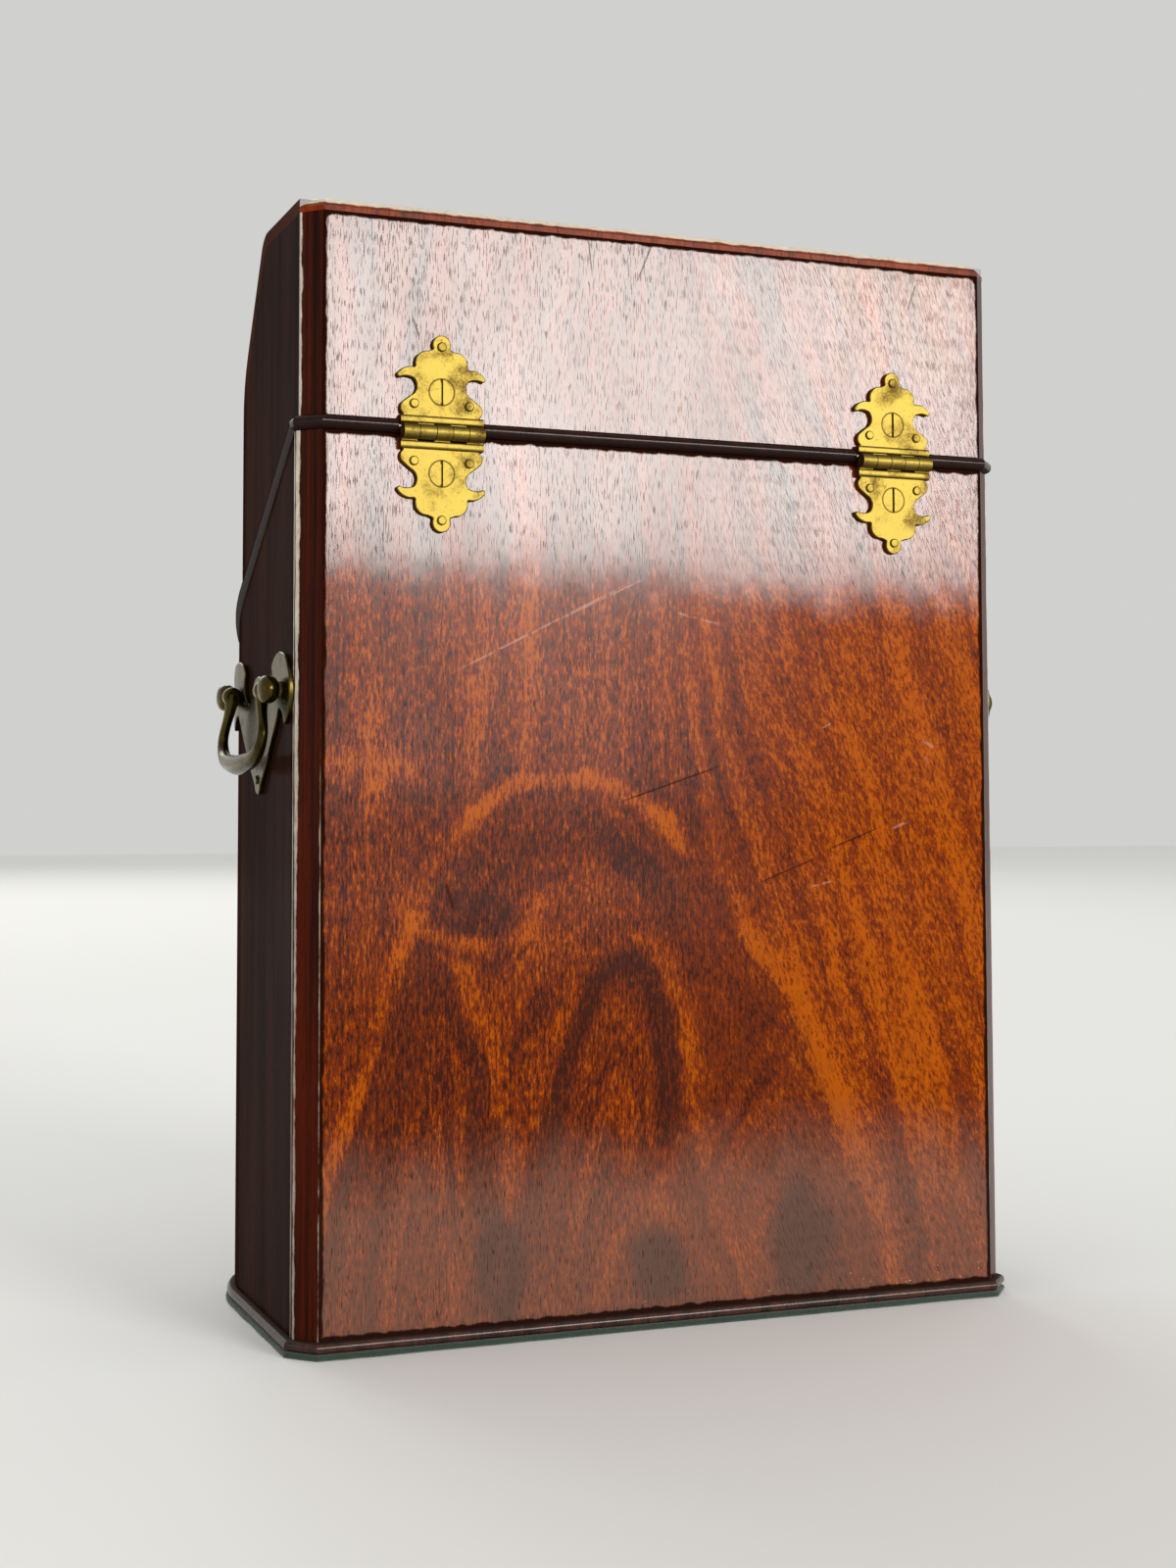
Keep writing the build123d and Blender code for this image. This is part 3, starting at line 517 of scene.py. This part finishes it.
finish(flame("back_flame", BODY_Z, RIM_Z, 1.2), "back_panel")
finish(flame("lid_back_flame", JOINT_Z, PANEL_Z, 3.4), "lid_back_panel")
# Painted shade: the sides and the lid's sides are a darker copy of the front's mahogany.
shaded_side_wood = straight("side_mahogany_shaded", srgb(54, 31, 23), srgb(32, 18, 14), 0.16, 0.0,
                     shadow=side_edge, quiet=True)
finish(shaded_side_wood, "side_panel_left", "side_panel_right", "lid_side_left", "lid_side_right")
front_wood = straight("front_mahogany", srgb(86, 43, 25), srgb(42, 21, 14), 0.16, 0.0, 12.0,
                      quiet=True, over=True)
finish(front_wood, "front_panel", "lid_front_panel", "lid_top_board", "lid_slope_board")
strip_wood = straight("crossbanding", srgb(78, 22, 4), srgb(26, 7, 3), 0.16, 0.05, 2.2, pale_edges=strip_wear_and_highlight)
finish(strip_wood, "corner_strip_left", "corner_strip_right")
finish(strip_wood, "lid_corner_strip_left", "lid_corner_strip_right")
edge_wood = straight("lid_edging", srgb(134, 48, 8), srgb(80, 24, 5), 0.16, 0.05, 6.0, pale_edges=crest_highlight_and_wear)
finish(edge_wood, "lid_edge_strip")
lid_bead = straight("lid_moulding", srgb(40, 16, 10), srgb(18, 7, 4), 0.12, 0.14, 4.0, shadow=bead_underside_shade)
finish(lid_bead, "lid_bead_back")
rim_bead = straight("rim_moulding", srgb(42, 20, 14), srgb(20, 9, 6), 0.18, 0.0, 4.0, quiet=True)
finish(rim_bead, "lid_bead_front")
base_wood = straight("base_moulding", srgb(72, 38, 27), srgb(30, 14, 10), 0.20, 0.30, 4.0, shadow=base_shade_lines)
finish(base_wood, "base_board")
inner_wood = straight("inner_mahogany", srgb(146, 92, 56), srgb(108, 62, 36), 0.42, 0.4)
finish(inner_wood, "floor_board", "divider_rear", "divider_front")
finish(inner_wood, "divider_runners_left", "divider_runners_right")


# ---------------------------------------------------------------- brass
HEAD_DIRT_AND_SHADE = srgb(58, 44, 16)        # dirt and painted shade in the crease round a sunk screw head
SPECK = srgb(70, 50, 20)


def brass(name, bright, dull, rough, rings=(), flat=X):
    """Brass with clouded tarnish, darker edges and fine pitting; rings gives the middles and radii of
    sunk heads, each ringed with dirt and painted shade, and flat the axis that its plates face."""
    g = Graph(name)
    x, _, z = g.parts()
    cloud = g.spots(9.0, 9.0, 5, 0.6)
    pits = g.spots(0.7, 0.7, 3, 0.6)
    mask = g.step(g.scaled(pits, 0.35, cloud), 0.62, 0.95)
    colour = g.mix(mask, bright, dull)
    # A dark ring round each sunk head: painted shade in its crease, with dirt.
    for mid_x, mid_z, radius in rings:
        off = g.away(g.length(g.minus(x, mid_x), g.minus(z, mid_z)), radius)
        colour = g.mix(g.times(g.step(off, 0.42, 0.12), 0.85), colour, HEAD_DIRT_AND_SHADE)
    facing = g.parts(g.add("ShaderNodeTexCoord").outputs["Normal"])
    edge = g.step(g.size(facing[flat]), 0.97, 0.75)
    colour = g.mix(g.times(edge, 0.62), colour, dull)
    specks = g.step(g.spots(0.8, 0.8, 2, 0.6), 0.64, 0.70)
    colour = g.mix(g.times(specks, 0.5), colour, SPECK)
    g.set(Base_Color=colour, Metallic=1.0, Roughness=g.scaled(mask, 0.14, rough))
    g.set(Normal=g.bump(g.scaled(pits, 0.3, cloud), 0.16, 0.35))
    return g


def head_rings():
    """Middle and radius of each countersunk screw head, from the frame's own screws."""
    rings = []
    for row in ("lid_hinge_screws", "body_hinge_screws"):
        low_z, high_z = reach(row, LOW, Z), reach(row, HIGH, Z)
        for side in ("left", "right"):
            leaf = f"hinge_{side}_upper_leaf"
            mid_x = (reach(leaf, LOW, X) + reach(leaf, HIGH, X)) / 2
            rings.append((mid_x, (low_z + high_z) / 2, (high_z - low_z) / 2))
    return rings


def both(kind, *parts):
    """Names of the nodes of a fitting on both sides."""
    return [f"{kind}_{side}_{part}" for side in ("left", "right") for part in parts]


hinge_brass = brass("hinge_brass", srgb(146, 126, 57), srgb(84, 62, 26), 0.46, head_rings(), Y)
finish(hinge_brass, *both("hinge", "upper_leaf", "lower_leaf", "pin"), "keyhole_escutcheon")
finish(hinge_brass, "lid_hinge_screws", "body_hinge_screws", "lid_hinge_brads", "body_hinge_brads")
# Painted shade: the handles' brass is a darker copy of the hinges'.
shaded_handle_brass = brass("shaded_handle_brass", srgb(102, 88, 42), srgb(44, 36, 18), 0.24)
finish(shaded_handle_brass, *both("handle", "backplate", "posts", "bail", "nuts", "brad"))
lock_brass = brass("lock_brass", srgb(190, 166, 104), srgb(128, 106, 62), 0.38)
finish(lock_brass, "lock_case", "lock_bolt", "lock_screws", "lid_link_plate", "link_plate_screws")


# ---------------------------------------------------------------- felt foot
FELT_STEP = 0.0012          # metres between the points along its edge
# Section through the edge: millimetres outwards from the CAD's edge and up from the underside.
FELT_SECTION = ((-3.5, 0.0), (-0.9, 0.0), (-0.15, 0.25), (0.0, 0.9), (-0.25, 1.5), (-1.0, 1.8), (-3.5, 1.8))


def felt_material():
    """Green baize, browned and paler in patches."""
    g = Graph("green_baize")
    blot = g.spots(16, 16, 4)
    fibre = g.spots(0.7, 0.7, 4, 0.7)
    blend = g.scaled(blot, 0.7, g.scaled(fibre, 0.6, -0.2), clamp=True)
    colour = g.mix(blend, srgb(8, 24, 16), srgb(48, 74, 56))
    g.set(Base_Color=colour, Roughness=0.95, Normal=g.bump(fibre, 0.8, 0.6))
    g.set(Sheen_Weight=0.3, Sheen_Roughness=0.5)
    return g


def foot_outline(step):
    """The felt's cut edge as evenly spaced points, read from the CAD solid's flat underside."""
    mesh = nodes["baize_foot"].data
    low = min(v.co.z for v in mesh.vertices)
    rim = {(round(v.co.x, 6), round(v.co.y, 6)) for v in mesh.vertices if v.co.z < low + 1e-5}
    rim = sorted(rim, key=lambda p: atan2(p[1], p[0]))
    points = []
    for (ax, ay), (bx, by) in zip(rim, rim[1:] + rim[:1]):
        count = max(1, round(hypot(bx - ax, by - ay) / step))
        points += [Vector((ax + (bx - ax) * i / count, ay + (by - ay) * i / count)) for i in range(count)]
    return points


def felt_foot():
    """Baize cut by hand and glued under the base: an uneven edge that has fuzzed, and lifted in places."""
    points = foot_outline(FELT_STEP)
    count = len(points)
    outward = []
    for i in range(count):
        along = points[(i + 1) % count] - points[i - 1]
        outward.append(Vector((along.y, -along.x)).normalized())
    bm = bmesh.new()
    rings = []
    for out, up in FELT_SECTION:
        edge = 1.0 if out > -1.5 else 0.0
        lifts = edge if up > 1 else 0.0
        ring = []
        for i, (p, n) in enumerate(zip(points, outward)):
            cut = noise.noise(Vector((p.x * 55, p.y * 55, 3.0))) * 0.5 - 0.15
            fuzz = noise.noise(Vector((p.x * 420, p.y * 420, up * 3))) * 0.22
            place = p + n * (out + edge * (cut + fuzz)) * MM
            height = up + lifts * noise.noise(Vector((p.x * 90, p.y * 90, 9.0))) * 0.12
            ring.append(bm.verts.new((place.x, place.y, max(0.0, height) * MM)))
        rings.append(ring)
    for low, high in zip(rings, rings[1:]):
        for i in range(count):
            j = (i + 1) % count
            bm.faces.new((low[i], low[j], high[j], high[i]))
    bm.faces.new(rings[0][::-1])
    bm.faces.new(rings[-1])
    bmesh.ops.recalc_face_normals(bm, faces=bm.faces)
    mesh = bpy.data.meshes.new("baize")
    bm.to_mesh(mesh)
    bm.free()
    for face in mesh.polygons:
        face.use_smooth = face.area < 1e-4
    piece = bpy.data.objects.new("baize", mesh)
    bpy.context.scene.collection.objects.link(piece)
    return piece


baize = felt_foot()
baize.data.materials.append(felt_material().material)
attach(baize, "carcass")
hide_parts("baize_foot")


# ---------------------------------------------------------------- camera
LENS_PX = 2121.5            # focal length in photograph pixels
PHOTO_W, PHOTO_H = 1200, 1600
CENTRE_PX = (506.95, 701.22)
YAW, PITCH = radians(20.43), radians(3.195)     # it looks to the box's right of -Y, and slightly up
EYE = (0.2852, BACK_Y * MM + 0.6044, 0.1645)

camera_data = bpy.data.cameras.new("camera")
camera_data.sensor_width = 36.0
camera_data.lens = LENS_PX / PHOTO_H * camera_data.sensor_width
camera_data.shift_x = (PHOTO_W / 2 - CENTRE_PX[0]) / PHOTO_H
camera_data.shift_y = (CENTRE_PX[1] - PHOTO_H / 2) / PHOTO_H
camera_data.clip_start = 0.01
camera = bpy.data.objects.new("camera", camera_data)
bpy.context.scene.collection.objects.link(camera)
camera.location = EYE
gaze = Vector((-sin(YAW) * cos(PITCH), -cos(YAW) * cos(PITCH), sin(PITCH)))
camera.rotation_euler = gaze.to_track_quat("-Z", "Y").to_euler()
bpy.context.scene.camera = camera


# ---------------------------------------------------------------- floor, light and background
def area_light(name, place, target, size, strength):
    """Soft rectangular lamp; strength is the brightness of its face, where 1 is white."""
    data = bpy.data.lights.new(name, "AREA")
    data.color = (1.0, 0.985, 0.95)
    data.shape = "RECTANGLE"
    data.size, data.size_y = size
    data.energy = strength * size[0] * size[1] * pi
    lamp = bpy.data.objects.new(name, data)
    lamp.location = place
    lamp.rotation_euler = (Vector(target) - Vector(place)).to_track_quat("-Z", "Y").to_euler()
    bpy.context.scene.collection.objects.link(lamp)


def studio_floor():
    """Pale floor, wider than any view."""
    mesh = bpy.data.meshes.new("floor")
    mesh.from_pydata([(-6, -6, 0), (6, -6, 0), (6, 6, 0), (-6, 6, 0)], [], [(0, 1, 2, 3)])
    floor = bpy.data.objects.new("floor", mesh)
    bpy.context.scene.collection.objects.link(floor)
    paint = Graph("pale_floor")
    paint.set(Base_Color=srgb(236, 236, 233), Roughness=0.7)
    mesh.materials.append(paint.material)
    return floor


def studio_world(ambient, backdrop):
    """Even white light, with a grey wall in its place for the camera and in reflections."""
    world = bpy.data.worlds.new("studio")
    bpy.context.scene.world = world
    world.use_nodes = True
    tree = world.node_tree
    background = tree.nodes["Background"]
    background.inputs["Color"].default_value = (1, 1, 1, 1)
    background.inputs["Strength"].default_value = ambient
    seen = tree.nodes.new("ShaderNodeBackground")
    seen.inputs["Color"].default_value = backdrop
    path = tree.nodes.new("ShaderNodeLightPath")
    shows = path.outputs["Is Camera Ray"]
    for ray in ("Is Glossy Ray", "Is Transmission Ray"):
        either = tree.nodes.new("ShaderNodeMath")
        either.operation = "MAXIMUM"
        tree.links.new(shows, either.inputs[0])
        tree.links.new(path.outputs[ray], either.inputs[1])
        shows = either.outputs[0]
    blend = tree.nodes.new("ShaderNodeMixShader")
    tree.links.new(shows, blend.inputs[0])
    tree.links.new(background.outputs[0], blend.inputs[1])
    tree.links.new(seen.outputs[0], blend.inputs[2])
    tree.links.new(blend.outputs[0], tree.nodes["World Output"].inputs["Surface"])


floor = studio_floor()
WINDOW_X, WINDOW_Y = -1.908, 4.127      # where the window's light comes from; its sill glows below it
for name, z, size, strength in (("window", 1.209, (2.016, 0.954), 23.0), ("glow", 0.410, (2.30, 0.453), 2.3)):
    area_light(name, (WINDOW_X, WINDOW_Y, z), (WINDOW_X, 0.0, z), size, strength)
area_light("front", (0.3, -3.4, 2.4), (0, 0, 0.15), (2.6, 1.8), 2.7)
area_light("fill", (2.2, 0.6, 0.5), (0, 0, 0.1), (1.2, 0.9), 0.6)
studio_world(0.68, srgb(208, 208, 206))
bpy.context.scene.view_settings.view_transform = "Standard"
